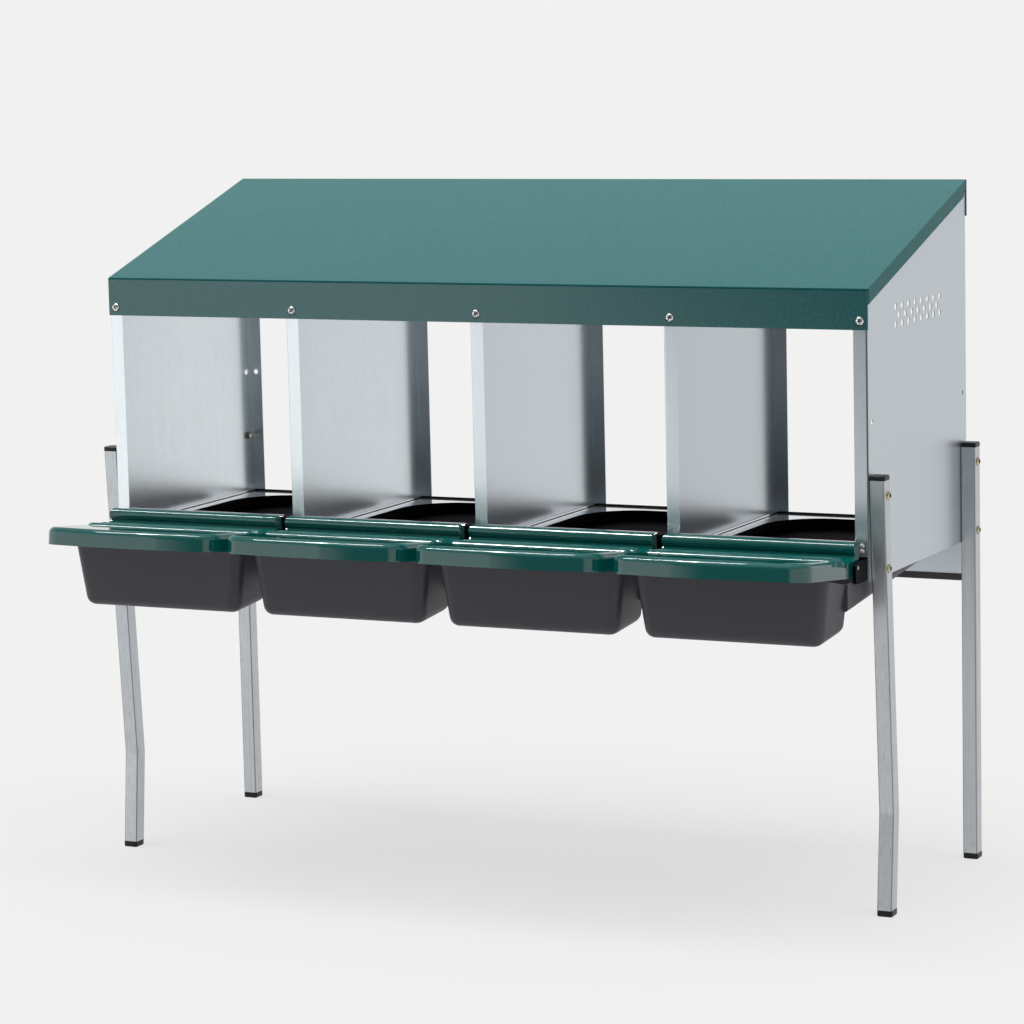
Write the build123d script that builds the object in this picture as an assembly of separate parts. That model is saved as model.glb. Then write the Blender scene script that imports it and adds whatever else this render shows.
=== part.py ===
from build123d import *
import os
from math import atan2, cos, degrees, hypot, radians, sin, tan

# Four-bay roll-away nest box: a folded sheet house on legs, with a moulded nest and a hinged
# egg lid in each bay. Millimetres, Z up. The origin is on the floor under the middle of the
# overall width and depth. X runs along the row of nests, and the hens come in from negative Y.

# House walls
bays = 4
bay_pitch = 270.0
house_depth = 370.0
house_bottom = 425.0  # lower edge of the walls above the floor
sheet = 1.0
bend_radius = 1.0  # inside radius of each fold
flange = 18.0

# Roof
front_rise = 361.0  # front edge of the roof above the lower edge of the walls
roof_slope = 17.0
fascia = 50.0
rear_lip = 48.0
side_lip = 20.0
roof_clearance = 0.5
lip_gap = 3.0
lip_chamfer = 9.0

# Vent field in each side panel
vent_diameter = 9.0
vent_pitch = 23.4
vent_row_pitch = 11.0
vent_counts = (8, 7, 8)
vent_drop = 98.0  # middle row below the roof, at mid depth

# Nest insert: rim, egg bar and hinge ears
rim_rise = 25.0  # top of the rim above the lower edge of the walls
rim = 3.0
rim_clearance = 1.0
rim_margin = 21.0
edge_bead = 2.0  # width of the raised edge along the sides and the rear
edge_rise = 2.5
rear_margin = 30.0
nest_corner = 75.0
skirt = 2.5
skirt_depth = 10.0
skirt_start = 45.0
bar_depth = 12.0
bar_height = 20.0
bar_lift = 4.0  # egg bar above the rim
bar_round = 5.0
ear = 4.0
ear_height = 26.0
ear_round = 5.0
ear_nose = 7.0  # ear in front of the hinge axis
ear_tail = 7.0  # ear behind the front flange
ear_gap = 2.0  # front flanges end this far above the ears

# Hinge of the lid
hinge_reach = 34.0  # axis in front of the house
hinge_drop = 2.0  # axis below the top of the rim
rod_diameter = 5.0
running_clearance = 0.05
lid_clearance = 1.0
pin_end = 0.5

# Nest tub: sloping pan and egg tray
tub_wall = 3.0
tub_clearance = 1.0
floor_slope = 5.2
pan_drop = 55.5  # underside of the pan below the rim, at its front
pan_reach = 57.0  # pan in front of the house
pan_rear = 24.0  # pan's back wall from the rear of the house
pan_round = 8.0
pan_corner = 20.0
tray_reach = 129.0
tray_back = 48.0
tray_drop = 90.0  # underside of the tray below the rim, at its front
tray_draft = 7.5
tray_front_draft = 4.0
tray_corner = 15.0
tray_round = 13.0
tray_lip_gap = 0.4  # tray's front corners below the closed lid

# Egg lid
lid_wall = 3.0
lid_tilt = 6.6
lip_drop = 10.0  # lower edge of the lid's rear below the hinge axis
lip_turn = 26.0  # lower edge starts to rise this far in front of the axis
deck_height = 20.0
deck_back = 14.0
board_height = 23.0
board_start = 50.0  # along the tilted deck from the turn of the lower edge
board_length = 142.0
board_bow = 18.0
board_corner = 34.0
board_round = 8.0
rib_radius = 9.0
rib_rise = 6.0
rib_start = 7.0
rib_pitch = 26.0
rib_count = 2
rib_inset = 1.0
bead_radius = 8.0
bead_back = 8.5  # bead behind the hinge axis
bead_rise = 22.0
bead_corner = 5.0
bead_wrap = 35.0  # degrees the bead turns under at its front
groove_in = 4.5  # groove under the bead, from the middle of the bead
groove_down = 7.0
tail_radius = 8.0
boss_radius = 6.0
boss_length = 10.0

# Legs
tube = 20.0
tube_wall = 1.5
tube_round = 2.0
leg_inset = 15.0  # bolt line from the edge of the wall
bolt_rise = 16.0  # lowest bolt above the lower edge of the wall
bolt_pitch = 90.5
leg_overrun = 19.5  # tube above the upper bolt
knee_height = 130.0
knee_back = 21.0
foot_back = 9.0
knee_bend = 40.0
cap_height = 6.0
foot_height = 8.0
plug_overhang = 0.3
plug_corner = 3.0
plug_round = 2.0  # free end of a cap or a foot
plug_depth = 14.0
plug_clearance = 0.2

# Fasteners
bolt_diameter = 6.0
bolt_clearance = 0.25
bolt_head = 11.0
bolt_head_height = 3.5
bolt_end = 1.0  # bolt past its nut
nut_width = 10.0
nut_height = 5.0
thread_clearance = 0.05
screw_diameter = 4.0
screw_clearance = 0.1
screw_head = 12.0
screw_head_height = 2.8
screw_length = 10.0
screw_edge = 11.0
head_round = 0.6  # share of a head's height that is rounded
rivet_diameter = 3.2
rivet_head = 6.0
rivet_head_height = 1.2
rivet_length = 10.0
rivet_pitch = 7.0
rivet_drop = 4.0  # upper rivet below the top of the egg bar

# Rear rail
rail_drop = 53.0  # lower edge of the rail below the lower edge of the walls
ledge_depth = 14.0
ledge_clearance = 4.0
rail_end = 0.5
trim_height = 9.0
trim_thickness = 5.0
trim_round = 2.0
trim_lap = 7.0  # rail inside its edging

# Positions that follow from the sizes
width = bays * bay_pitch
lid_nose = hinge_reach + lip_turn + (board_length + board_bow) * cos(radians(lid_tilt))
front = (lid_nose - house_depth - sheet - screw_head_height) / 2
rear = front + house_depth
middle = (front + rear) / 2
fold = bend_radius + sheet
bay_centres = [(i + 0.5) * bay_pitch - width / 2 for i in range(bays)]
wall_lines = [i * bay_pitch - width / 2 for i in range(bays)]
flange_lines = [x + flange / 2 for x in wall_lines] + [width / 2 - flange / 2]
slope = radians(roof_slope)
roof_front = house_bottom + front_rise
roof_half = width / 2 + roof_clearance + sheet
rim_top = house_bottom + rim_rise
rim_under = rim_top - rim
rim_half = bay_pitch / 2 - sheet - rim_clearance
rim_rear = house_depth - sheet - rim_clearance
bar_bottom = rim_top + bar_lift
bar_top = bar_bottom + bar_height
ear_top = rim_top + bar_lift
flange_end = ear_top + ear_gap
hinge_y = -hinge_reach
hinge_z = rim_top - hinge_drop
lid_half = rim_half - ear - lid_clearance
tub_half = rim_half - ear - tub_clearance
tail_reach = hypot(bead_back + bead_radius - tail_radius, lip_drop - tail_radius) + tail_radius
pan_front_top = hinge_z - tail_reach - tub_clearance
lower_bolt = house_bottom + bolt_rise
upper_bolt = lower_bolt + bolt_pitch
leg_top = upper_bolt + leg_overrun
rail_bottom = house_bottom - rail_drop
rivet_heights = [bar_top - rivet_drop, bar_top - rivet_drop - rivet_pitch]


def roof_line(y):
    """Height of the roof's upper face at depth y."""
    return roof_front + (y - front + sheet) * tan(slope)


def roof_under(y):
    """Height of the roof's lower face at depth y."""
    return roof_line(y) - sheet / cos(slope)


def prism(outline, half):
    """Solid with a (y, z) outline that reaches half to each side of X = 0."""
    return extrude(Plane.YZ * outline, amount=half, both=True)


def polygon(*points):
    """Face inside a closed run of straight lines."""
    return make_face(Polyline(*points, close=True))


def near(shape, *points):
    """The corners of a flat shape nearest to the given points."""
    return [shape.vertices().sort_by_distance((u, v, 0))[0] for u, v in points]


def bore_x(x, y, z, diameter, length):
    """Cylinder along X, centred on a point."""
    return Pos(x, y, z) * Rot(0, 90, 0) * Cylinder(diameter / 2, length)


def bore_y(x, y, z, diameter, length):
    """Cylinder along Y, centred on a point."""
    return Pos(x, y, z) * Rot(90, 0, 0) * Cylinder(diameter / 2, length)


def screw_line(z):
    """Points on the middle lines of the folded flanges at one height."""
    return [(x, z) for x in flange_lines]


roof_screw_front = roof_front - fascia + screw_edge
roof_screw_rear = roof_line(rear + sheet) - rear_lip + screw_edge
rail_screw = (house_bottom + rim_under) / 2


# Folded sheet walls


def channel():
    """Wall with its web on X = 0 and both flanges turned to +X, cut off under the roof."""
    section = Pos(flange / 2, middle) * Rectangle(flange, house_depth)
    section -= Pos(flange / 2 + sheet, middle) * Rectangle(flange, house_depth - 2 * sheet)
    section = fillet(section.vertices().group_by(Axis.X)[1], bend_radius)
    section = fillet(section.vertices().group_by(Axis.X)[0], fold)
    wall = Pos(0, 0, house_bottom) * extrude(section, amount=roof_line(rear) - house_bottom)
    relief = 2 * fold
    room = polygon(
        (front - relief, house_bottom - relief),
        (rear + relief, house_bottom - relief),
        (rear + relief, roof_under(rear) - relief),
        (rear, roof_under(rear) - relief),
        (rear - relief, roof_under(rear - relief)),
        (front + relief, roof_under(front + relief)),
        (front, roof_under(front) - relief),
        (front - relief, roof_under(front) - relief),
    )
    wall &= prism(room, 2 * flange)
    slot_height = flange_end - house_bottom
    ear_slot = Box(flange, 2 * fold, slot_height, align=(Align.MIN, Align.CENTER, Align.MIN))
    wall -= Pos(fold, front, house_bottom) * ear_slot
    hole = screw_diameter + 2 * screw_clearance
    wall -= bore_y(flange / 2, front, roof_screw_front, hole, 2 * fold)
    wall -= bore_y(flange / 2, rear, roof_screw_rear, hole, 2 * fold)
    wall -= bore_y(flange / 2, rear, rail_screw, hole, 2 * fold)
    for z in rivet_heights:
        wall -= bore_y(flange / 2, front, z, rivet_diameter + 2 * screw_clearance, 2 * fold)
    return wall


def side_panel():
    """Left side panel: a channel with the leg holes, the spare holes and the vent field."""
    panel = channel()
    hole = bolt_diameter + 2 * bolt_clearance
    for y in (front + leg_inset, rear - leg_inset):
        for i in range(3):
            panel -= bore_x(0, y, lower_bolt + i * bolt_pitch, hole, 4 * sheet)
    spare = lower_bolt + 2 * bolt_pitch
    panel -= bore_y(flange / 2, rear, spare, hole, 2 * fold)
    for row, count in enumerate(vent_counts):
        z = roof_line(middle) - vent_drop + (1 - row) * vent_row_pitch
        for i in range(count):
            y = middle + (i - (count - 1) / 2) * vent_pitch
            panel -= bore_x(0, y, z, vent_diameter, 4 * sheet)
    return Pos(-width / 2, 0, 0) * panel


def roof():
    """Roof folded from one sheet: fascia, rear lip and two side lips."""
    eaves = front - sheet
    ridge = rear + sheet
    lip_end = roof_line(ridge) - rear_lip
    section = polygon(
        (eaves, roof_front - fascia),
        (eaves, roof_front),
        (ridge, roof_line(ridge)),
        (ridge, lip_end),
        (rear, lip_end),
        (rear, roof_under(rear)),
        (front, roof_under(front)),
        (front, roof_front - fascia),
    )
    section = fillet(near(section, (eaves, roof_front), (ridge, roof_line(ridge))), fold)
    section = fillet(near(section, (front, roof_under(front)), (rear, roof_under(rear))), bend_radius)
    cover = prism(section, roof_half)
    y0 = front + lip_gap
    y1 = rear - lip_gap
    lip = polygon(
        (y0, roof_line(y0)),
        (y1, roof_line(y1)),
        (y1, roof_line(y1) - side_lip + lip_chamfer),
        (y1 - lip_chamfer, roof_line(y1 - lip_chamfer) - side_lip),
        (y0, roof_line(y0) - side_lip),
    )
    for side in (-1, 1):
        cover += Pos(side * (roof_half - sheet / 2), 0, 0) * prism(lip, sheet / 2)
    hole = screw_diameter + 2 * screw_clearance
    for x, z in screw_line(roof_screw_front):
        cover -= bore_y(x, front, z, hole, 4 * sheet)
    for x, z in screw_line(roof_screw_rear):
        cover -= bore_y(x, rear, z, hole, 4 * sheet)
    return cover


def rear_rail():
    """Low cross panel behind the nests with one folded ledge under each rim."""
    web_top = rim_under - 2 * fold
    web = polygon(
        (rear, rail_bottom),
        (rear + sheet, rail_bottom),
        (rear + sheet, web_top),
        (rear, web_top),
    )
    rail = prism(web, width / 2 - rail_end)
    ledge = polygon(
        (rear - ledge_depth, rim_under),
        (rear + sheet, rim_under),
        (rear + sheet, web_top),
        (rear, web_top),
        (rear, rim_under - sheet),
        (rear - ledge_depth, rim_under - sheet),
    )
    ledge = fillet(near(ledge, (rear + sheet, rim_under)), fold)
    ledge = fillet(near(ledge, (rear, rim_under - sheet)), bend_radius)
    for x in bay_centres:
        rail += Pos(x, 0, 0) * prism(ledge, bay_pitch / 2 - flange - ledge_clearance)
    for x, z in screw_line(rail_screw):
        rail -= bore_y(x, rear, z, screw_diameter + 2 * screw_clearance, 4 * sheet)
    return rail


def rail_trim():
    """Edging pushed over the lower edge of the rear rail."""
    base = rail_bottom + trim_lap - trim_height
    line = rear + sheet / 2
    section = Pos(line, base + trim_height / 2) * Rectangle(trim_thickness, trim_height)
    section = fillet(section.vertices().group_by(Axis.Y)[0], trim_round)
    slot = Pos(line, rail_bottom + trim_lap / 2) * Rectangle(sheet, trim_lap)
    return prism(section - slot, width / 2 - rail_end)


# Nest pieces, with Y measured from the front of the house


def nest_insert():
    """Rim with a raised edge and the rounded nest opening, the egg bar over its front and two ears."""
    length = rim_rear - sheet
    plate = Pos(0, sheet + length / 2) * Rectangle(2 * rim_half, length)
    field_length = length - edge_bead
    field = Pos(0, sheet + field_length / 2) * Rectangle(2 * (rim_half - edge_bead), field_length)
    nest_half = rim_half - rim_margin
    nest_rear = rim_rear - rear_margin
    nest = Pos(0, nest_rear / 2) * Rectangle(2 * nest_half, nest_rear)
    nest = fillet(nest.vertices().group_by(Axis.Y)[-1], nest_corner)
    collar = offset(nest, skirt) - nest
    collar -= Pos(0, skirt_start / 2 - skirt) * Rectangle(2 * rim_half, skirt_start + 2 * skirt)
    insert = Pos(0, 0, rim_under) * extrude(plate - nest, amount=rim)
    insert += Pos(0, 0, rim_top) * extrude(plate - field, amount=edge_rise)
    insert += Pos(0, 0, rim_under - skirt_depth) * extrude(collar, amount=skirt_depth)
    bar = Pos(sheet + bar_depth / 2, bar_bottom + bar_height / 2) * Rectangle(bar_depth, bar_height)
    bar = fillet(bar.vertices().group_by(Axis.Y)[-1], bar_round)
    insert += prism(bar, rim_half)
    post = Box(rim_margin, bar_depth, bar_lift, align=(Align.CENTER, Align.MIN, Align.MIN))
    side = polygon(
        (hinge_y - ear_nose, ear_top - ear_height),
        (sheet + ear_tail, ear_top - ear_height),
        (sheet + ear_tail, ear_top),
        (hinge_y - ear_nose, ear_top),
    )
    side = fillet(side.vertices().group_by(Axis.X)[0], ear_round)
    for end in (-1, 1):
        insert += Pos(end * (rim_half - rim_margin / 2), sheet, rim_top) * post
        insert += Pos(end * (rim_half - ear / 2), 0, 0) * prism(side, ear / 2)
        insert -= bore_x(end * rim_half, hinge_y, hinge_z, rod_diameter + 2 * running_clearance, 3 * ear)
        for z in rivet_heights:
            x = end * (bay_pitch / 2 - flange / 2)
            insert -= bore_y(x, 0, z, rivet_diameter + 2 * screw_clearance, 2 * (rivet_length + sheet))
    return insert


def pan_line(y):
    """Height of the pan's underside at depth y."""
    return rim_top - pan_drop + (y + pan_reach) * tan(radians(floor_slope))


def tray_line(y):
    """Height of the tray's underside at depth y."""
    return rim_top - tray_drop + (y + tray_reach) * tan(radians(floor_slope))


def lip_line(y):
    """Height of the closed lid's lower edge at depth y."""
    return hinge_z - lip_drop + max(0.0, hinge_y - lip_turn - y) * tan(radians(lid_tilt))


def pan_block(inset):
    """Long block of the pan with a sloping underside, drawn in by inset all round."""
    start = -pan_reach + inset
    back = house_depth - pan_rear - inset
    side = polygon(
        (start, pan_line(start) + inset),
        (back, pan_line(back) + inset),
        (back, rim_under),
        (start, rim_under),
    )
    block = prism(side, tub_half - inset)
    block = fillet(block.edges().filter_by(Axis.Z).group_by(Axis.Y)[-1], pan_corner - inset)
    return fillet(block.faces().sort_by(Axis.Z)[0].edges(), pan_round - inset)


def tray_block(inset):
    """Drafted block of the egg tray with a sloping underside, drawn in by inset all round."""
    levels = []
    for z in (rim_top - tray_drop - tray_round, rim_top):
        depth = rim_top - z
        half = tub_half - inset - depth * tan(radians(tray_draft))
        face = tray_reach - inset - depth * tan(radians(tray_front_draft))
        back = tray_back + inset
        outline = Pos(0, -(face + back) / 2) * Rectangle(2 * half, face - back)
        outline = fillet(outline.vertices().group_by(Axis.Y)[0], tray_corner - inset)
        levels.append(Pos(0, 0, z) * outline)
    far = 2 * tray_reach
    room = polygon(
        (-far, tray_line(-far) + inset),
        (0, tray_line(0) + inset),
        (0, rim_top),
        (-far, rim_top),
    )
    block = loft(levels) & prism(room, bay_pitch)
    return fillet(block.faces().sort_by(Axis.Z)[0].edges(), tray_round - inset)


def nest_tub():
    """Thin-walled pan with a sloping floor that drops into the egg tray in front of the house."""
    far = 2 * tray_reach
    rise = (lip_line(-tray_reach) - tray_lip_gap - pan_front_top) / (tray_reach - pan_reach)
    lid_room = polygon(
        (0, pan_front_top),
        (-pan_reach, pan_front_top),
        (-far, pan_front_top + (far - pan_reach) * rise),
        (-far, 2 * rim_top),
        (0, 2 * rim_top),
    )
    tub = pan_block(0) + tray_block(0)
    tub -= pan_block(tub_wall)
    tub -= tray_block(tub_wall)
    return tub - prism(lid_room, bay_pitch)


# Egg lid, drawn about its hinge axis


def upstand(skin):
    """Rear of the lid with the rolled bead and the cove, drawn in by skin; it is open below."""
    tilt = radians(lid_tilt)
    foot_y = -lip_turn + deck_back * cos(tilt) + deck_height * sin(tilt)
    foot_z = -lip_drop - deck_back * sin(tilt) + deck_height * cos(tilt)
    groove_y = bead_back - groove_in
    groove_z = bead_rise - groove_down
    run = groove_y - foot_y
    cove = (run**2 + (groove_z - foot_z) ** 2) / (2 * (groove_z - foot_z))
    swing = degrees(atan2(groove_z - foot_z - cove, run))
    bottom = -lip_drop - 2 * skin
    back = bead_back + bead_radius - skin
    bead = CenterArc((bead_back, bead_rise), bead_radius - skin, 0, 180 + bead_wrap)
    curve = CenterArc((foot_y, foot_z + cove), cove + skin, swing, -90 - swing)
    section = make_face(
        [
            Polyline((-lip_turn, foot_z - skin), (-lip_turn, bottom), (back, bottom), bead @ 0),
            bead,
            Line(bead @ 1, curve @ 0),
            curve,
            Line(curve @ 1, (-lip_turn, foot_z - skin)),
        ]
    )
    tail = tail_radius - skin
    section = fillet(near(section, (back, bottom)), tail)
    half = lid_half - skin
    height = bead_rise + bead_radius - skin - bottom
    face = Pos(0, bottom + height / 2) * Rectangle(2 * half, height)
    face = fillet(face.vertices().group_by(Axis.Y)[-1], bead_corner - skin)
    return prism(section, half) & extrude(Plane.XZ * face, amount=2 * lip_turn, both=True)


def deck_parts(skin):
    """Deck, ribs and front board of the lid, drawn in by skin; they are open below."""
    half = lid_half - skin
    bottom = -2 * skin
    reach = board_start + 2 * board_round
    plate = Pos(0, (deck_back - reach) / 2) * Rectangle(2 * half, deck_back + reach)
    deck = Pos(0, 0, bottom) * extrude(plate, amount=deck_height - skin - bottom)
    deck = fillet(deck.edges().filter_by(Axis.Y).group_by(Axis.Z)[-1], board_round - skin)
    for i in range(rib_count):
        core = lid_half - rib_inset - rib_radius
        rib = Rot(0, 90, 0) * Cylinder(rib_radius - skin, 2 * core)
        rib += [Pos(end * core, 0, 0) * Sphere(rib_radius - skin) for end in (-1, 1)]
        deck += Pos(0, -rib_start - i * rib_pitch, deck_height + rib_rise - rib_radius) * rib
    corner = -board_length
    edge = -board_start
    plan = make_face(
        [
            Polyline((-lid_half, corner), (-lid_half, edge), (lid_half, edge), (lid_half, corner)),
            ThreePointArc((lid_half, corner), (0, corner - board_bow), (-lid_half, corner)),
        ]
    )
    plan = fillet(plan.vertices().group_by(Axis.Y)[0], board_corner)
    board = Pos(0, 0, bottom) * extrude(offset(plan, -skin), amount=board_height - skin - bottom)
    board = fillet(board.edges().group_by(Axis.Z)[-1], board_round - skin)
    return Pos(0, -lip_turn, -lip_drop) * Rot(-lid_tilt, 0, 0) * (deck + board)


def egg_lid():
    """Moulded lid over the egg tray: front board, ribbed deck, beaded rear and hinge bosses."""
    lid = upstand(0) + deck_parts(0)
    lid -= upstand(lid_wall)
    lid -= deck_parts(lid_wall)
    mouth_width = 2 * (lid_half - lid_wall)
    lid -= Box(mouth_width, 4 * tail_reach, 2 * lip_drop, align=(Align.CENTER, Align.CENTER, Align.MAX))
    for end in (-1, 1):
        lid += bore_x(end * (lid_half - boss_length / 2), 0, 0, 2 * boss_radius, boss_length)
    lid -= bore_x(0, 0, 0, rod_diameter + 2 * running_clearance, 4 * lid_half)
    return Pos(0, hinge_y, hinge_z) * lid


def hinge_pins():
    """One pin in each ear, reaching into the boss of the lid."""
    length = ear + lid_clearance + boss_length + pin_end
    x = rim_half + pin_end - length / 2
    return [bore_x(end * x, hinge_y, hinge_z, rod_diameter, length) for end in (-1, 1)]


# Legs


def leg_core(size, corner, kneed):
    """Square bar of the given size along the middle line of a left leg."""
    y = leg_inset if kneed else house_depth - leg_inset
    knee_y = y + knee_back if kneed else y
    foot_y = y + foot_back if kneed else y
    lean = (y - knee_y) / ((lower_bolt + upper_bolt) / 2 - knee_height)
    splay = (foot_y - knee_y) / knee_height
    top = (knee_y + (leg_top + tube - knee_height) * lean, leg_top + tube)
    knee = (knee_y, knee_height)
    toe = (foot_y + tube * splay, -tube)
    x = -width / 2 - tube / 2
    points = [(x, front + u, v) for u, v in (top, knee, toe)]
    path = FilletPolyline(*points, radius=knee_bend) if kneed else Line(points[0], points[2])
    section = RectangleRounded(size, size, corner)
    return sweep(Plane(path @ 0, x_dir=(1, 0, 0), z_dir=path % 0) * section, path)


def slab(low, high):
    """Level slice of the whole footprint."""
    size = 2 * (width + house_depth)
    return Pos(0, 0, low) * Box(size, size, high - low, align=(Align.CENTER, Align.CENTER, Align.MIN))


def leg(kneed):
    """Left leg tube, cut level at both ends and drilled for its two bolts."""
    inner = tube - 2 * tube_wall
    bar = leg_core(tube, tube_round, kneed) - leg_core(inner, tube_round / 2, kneed)
    bar &= slab(foot_height, leg_top)
    y = front + leg_inset if kneed else rear - leg_inset
    for z in (lower_bolt, upper_bolt):
        bar -= bore_x(-width / 2, y, z, bolt_diameter + 2 * bolt_clearance, 3 * tube)
    return bar


def leg_end(kneed, low, high, plug_low, plug_high):
    """Moulded end of a left leg: a block outside the tube and a plug inside it."""
    block = Pos(-plug_overhang, 0, 0) * leg_core(tube + 2 * plug_overhang, plug_corner, kneed)
    block &= slab(low, high)
    free_end = block.edges().group_by(Axis.Z)[-1 if plug_low < low else 0]
    block = fillet(free_end, plug_round)
    plug_size = tube - 2 * tube_wall - 2 * plug_clearance
    plug = leg_core(plug_size, tube_round / 2, kneed) & slab(plug_low, plug_high)
    return block + plug


def both_sides(shapes):
    """The shapes with their mirror images on the other side of the house."""
    return list(shapes) + [mirror(shape, about=Plane.YZ) for shape in shapes]


# Fasteners


def headed(head, head_height, shank, length):
    """Fastener with a domed head above Z = 0 and its shank below."""
    top = Cylinder(head / 2, head_height, align=(Align.CENTER, Align.CENTER, Align.MIN))
    top = fillet(top.edges().group_by(Axis.Z)[-1], head_round * head_height)
    return top + Cylinder(shank / 2, length, align=(Align.CENTER, Align.CENTER, Align.MAX))


def leg_bolts():
    """Bolts through the legs and the side panels."""
    length = tube + sheet + nut_height + bolt_end
    bolt = Rot(0, -90, 0) * headed(bolt_head, bolt_head_height, bolt_diameter, length)
    places = [(y, z) for y in (front + leg_inset, rear - leg_inset) for z in (lower_bolt, upper_bolt)]
    return both_sides([Pos(-width / 2 - tube, y, z) * bolt for y, z in places])


def leg_nuts():
    """Nuts of the leg bolts, inside the side panels."""
    nut = extrude(RegularPolygon(nut_width / 2, 6, major_radius=False), amount=nut_height)
    nut -= Cylinder(bolt_diameter / 2 + thread_clearance, 4 * nut_height)
    nut = Rot(0, 90, 0) * nut
    places = [(y, z) for y in (front + leg_inset, rear - leg_inset) for z in (lower_bolt, upper_bolt)]
    return both_sides([Pos(-width / 2 + sheet, y, z) * nut for y, z in places])


def roof_screws():
    """Screws through the fascia and the rear lip into the flanges of the walls."""
    screw = headed(screw_head, screw_head_height, screw_diameter, screw_length)
    ahead = [Pos(x, front - sheet, z) * Rot(90, 0, 0) * screw for x, z in screw_line(roof_screw_front)]
    behind = [Pos(x, rear + sheet, z) * Rot(-90, 0, 0) * screw for x, z in screw_line(roof_screw_rear)]
    return ahead + behind


def rail_screws():
    """Screws through the rear rail into the flanges of the walls."""
    screw = headed(screw_head, screw_head_height, screw_diameter, screw_length)
    return [Pos(x, rear + sheet, z) * Rot(-90, 0, 0) * screw for x, z in screw_line(rail_screw)]


def insert_rivets():
    """Rivets that hold the egg bars to the front flanges."""
    rivet = Rot(90, 0, 0) * headed(rivet_head, rivet_head_height, rivet_diameter, rivet_length)
    return [Pos(x, front, z) * rivet for z in rivet_heights for x, _ in screw_line(z)]


def gather(shapes):
    """Separate solids kept together as one piece."""
    return Compound(children=list(shapes))


left_panel = side_panel()
wall = channel()
insert = nest_insert()
tub = nest_tub()
lid = egg_lid()
legs = {"front": leg(True), "rear": leg(False)}
caps = [leg_end(k, leg_top, leg_top + cap_height, leg_top - plug_depth, leg_top) for k in (True, False)]
feet = [leg_end(k, 0, foot_height, foot_height, foot_height + plug_depth) for k in (True, False)]
parts = {
    "roof": roof(),
    "side_panel_left": left_panel,
    "side_panel_right": mirror(left_panel, about=Plane.YZ),
    "rear_rail": rear_rail(),
    "rail_trim": rail_trim(),
    "leg_caps": gather(both_sides(caps)),
    "leg_feet": gather(both_sides(feet)),
    "leg_bolts": gather(leg_bolts()),
    "leg_nuts": gather(leg_nuts()),
    "roof_screws": gather(roof_screws()),
    "rail_screws": gather(rail_screws()),
    "insert_rivets": gather(insert_rivets()),
}
for end, bar in legs.items():
    parts[f"leg_{end}_left"] = bar
    parts[f"leg_{end}_right"] = mirror(bar, about=Plane.YZ)
for i, x in enumerate(wall_lines[1:], 1):
    parts[f"divider_{i}"] = Pos(x, 0, 0) * wall
for i, x in enumerate(bay_centres, 1):
    place = Pos(x, front, 0)
    parts[f"nest_insert_{i}"] = place * insert
    parts[f"nest_tub_{i}"] = place * tub
    parts[f"egg_lid_{i}"] = place * lid
    parts[f"hinge_pins_{i}"] = gather(place * pin for pin in hinge_pins())

os.makedirs("parts", exist_ok=True)
for name, shape in parts.items():
    export_step(shape, f"parts/{name}.step")
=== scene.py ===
import logging
from dataclasses import dataclass, replace
from enum import Enum
from math import pi, radians
from typing import ClassVar, Iterable, NamedTuple, Optional, Union

import bmesh
import bpy
from mathutils import Euler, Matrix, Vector


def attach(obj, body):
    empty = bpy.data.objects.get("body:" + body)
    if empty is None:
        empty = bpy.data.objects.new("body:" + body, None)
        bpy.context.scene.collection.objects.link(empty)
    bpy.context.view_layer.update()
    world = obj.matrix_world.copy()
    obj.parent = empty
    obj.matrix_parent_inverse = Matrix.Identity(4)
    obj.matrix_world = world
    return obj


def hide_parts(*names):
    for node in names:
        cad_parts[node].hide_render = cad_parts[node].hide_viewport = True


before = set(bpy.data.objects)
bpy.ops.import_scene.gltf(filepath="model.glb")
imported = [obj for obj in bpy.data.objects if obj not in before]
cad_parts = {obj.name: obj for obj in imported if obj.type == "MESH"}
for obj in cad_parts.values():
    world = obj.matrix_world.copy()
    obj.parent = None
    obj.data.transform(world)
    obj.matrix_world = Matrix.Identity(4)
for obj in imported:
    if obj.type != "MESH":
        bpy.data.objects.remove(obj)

log = logging.getLogger("nest_box")
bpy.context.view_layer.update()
MM = 0.001
NESTS = 4
NOISE_MEAN = 0.5
WELD = 1e-6
CREASE = 35.0
HEXAGON = 2 / 3**0.5
AXIS = "axis"
RECESS = "recess"
Pair = tuple[float, float]
Triple = tuple[float, float, float]


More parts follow.
